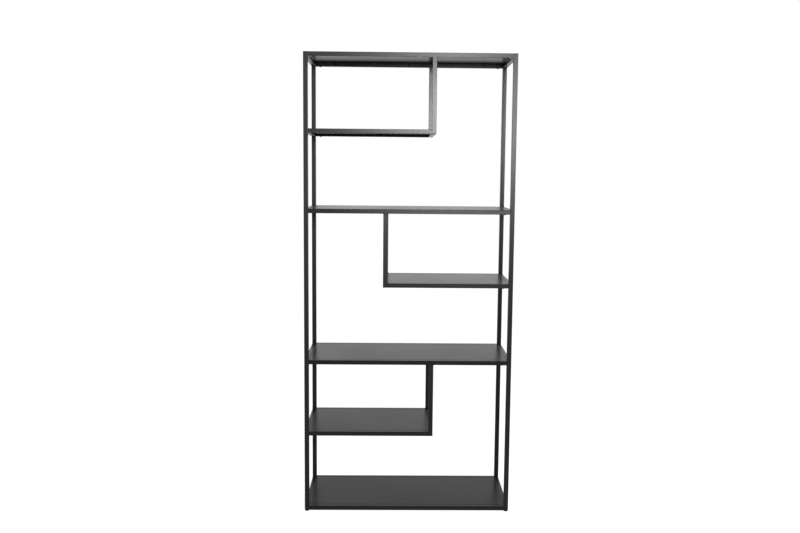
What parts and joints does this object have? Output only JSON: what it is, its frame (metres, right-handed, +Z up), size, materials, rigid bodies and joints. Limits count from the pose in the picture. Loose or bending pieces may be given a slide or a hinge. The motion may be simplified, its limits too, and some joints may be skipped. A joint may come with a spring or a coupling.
{
  "type": "open bookcase",
  "caption": "Tall open bookcase of slim black steel tube with full shelves, staggered short hanging shelves and screw feet, for books and ornaments.",
  "frame": {"origin": "on the floor under the middle of the bookcase", "axes": "+Z up, +X to the right seen from the front, +Y to the back"},
  "size_m": [0.95, 0.35, 2.105],
  "materials": {
    "black_powder_coat": "satin black powder coat with a fine texture",
    "black_plastic": "moulded black plastic",
    "black_bolt": "black coated steel",
    "zinc_steel": "zinc plated steel"
  },
  "bodies": {
    "bookcase": {"bottom_shelf_front_rail": "black_powder_coat", "bottom_shelf_left_end_rail": "black_powder_coat", "bottom_shelf_rear_rail": "black_powder_coat", "bottom_shelf_right_end_rail": "black_powder_coat", "bottom_shelf_sheet": "black_powder_coat", "divider_end_plugs": "black_plastic", "foot_inserts": "black_plastic", "lower_divider_foot_rail": "black_powder_coat", "lower_divider_front_upright": "black_powder_coat", "lower_divider_rear_upright": "black_powder_coat", "lower_hanging_shelf_front_rail": "black_powder_coat", "lower_hanging_shelf_left_end_rail": "black_powder_coat", "lower_hanging_shelf_rear_rail": "black_powder_coat", "lower_hanging_shelf_sheet": "black_powder_coat", "lower_shelf_front_rail": "black_powder_coat", "lower_shelf_left_end_rail": "black_powder_coat", "lower_shelf_rear_rail": "black_powder_coat", "lower_shelf_right_end_rail": "black_powder_coat", "lower_shelf_sheet": "black_powder_coat", "middle_divider_foot_rail": "black_powder_coat", "middle_divider_front_upright": "black_powder_coat", "middle_divider_rear_upright": "black_powder_coat", "middle_hanging_shelf_front_rail": "black_powder_coat", "middle_hanging_shelf_rear_rail": "black_powder_coat", "middle_hanging_shelf_right_end_rail": "black_powder_coat", "middle_hanging_shelf_sheet": "black_powder_coat", "post_front_left": "black_powder_coat", "post_front_right": "black_powder_coat", "post_rear_left": "black_powder_coat", "post_rear_right": "black_powder_coat", "post_top_caps": "black_plastic", "rail_spigots": "black_powder_coat", "sheet_screws": "black_bolt", "shelf_bolts": "black_bolt", "spigot_nuts": "zinc_steel", "top_shelf_front_rail": "black_powder_coat", "top_shelf_left_end_rail": "black_powder_coat", "top_shelf_rear_rail": "black_powder_coat", "top_shelf_right_end_rail": "black_powder_coat", "top_shelf_sheet": "black_powder_coat", "upper_divider_foot_rail": "black_powder_coat", "upper_divider_front_upright": "black_powder_coat", "upper_divider_rear_upright": "black_powder_coat", "upper_hanging_shelf_front_rail": "black_powder_coat", "upper_hanging_shelf_left_end_rail": "black_powder_coat", "upper_hanging_shelf_rear_rail": "black_powder_coat", "upper_hanging_shelf_sheet": "black_powder_coat", "upper_shelf_front_rail": "black_powder_coat", "upper_shelf_left_end_rail": "black_powder_coat", "upper_shelf_rear_rail": "black_powder_coat", "upper_shelf_right_end_rail": "black_powder_coat", "upper_shelf_sheet": "black_powder_coat"},
    "foot_front_left": {"foot_pad_front_left": "black_plastic", "foot_stud_front_left": "zinc_steel"},
    "foot_front_right": {"foot_pad_front_right": "black_plastic", "foot_stud_front_right": "zinc_steel"},
    "foot_rear_left": {"foot_pad_rear_left": "black_plastic", "foot_stud_rear_left": "zinc_steel"},
    "foot_rear_right": {"foot_pad_rear_right": "black_plastic", "foot_stud_rear_right": "zinc_steel"}
  },
  "joints": [
    {"name": "foot_front_left_screw", "type": "slide", "parent": "bookcase", "child": "foot_front_left", "axis": [0, 0, 1], "range_m": [-0.01, 0]},
    {"name": "foot_front_right_screw", "type": "slide", "parent": "bookcase", "child": "foot_front_right", "axis": [0, 0, 1], "range_m": [-0.01, 0]},
    {"name": "foot_rear_left_screw", "type": "slide", "parent": "bookcase", "child": "foot_rear_left", "axis": [0, 0, 1], "range_m": [-0.01, 0]},
    {"name": "foot_rear_right_screw", "type": "slide", "parent": "bookcase", "child": "foot_rear_right", "axis": [0, 0, 1], "range_m": [-0.01, 0]}
  ]
}
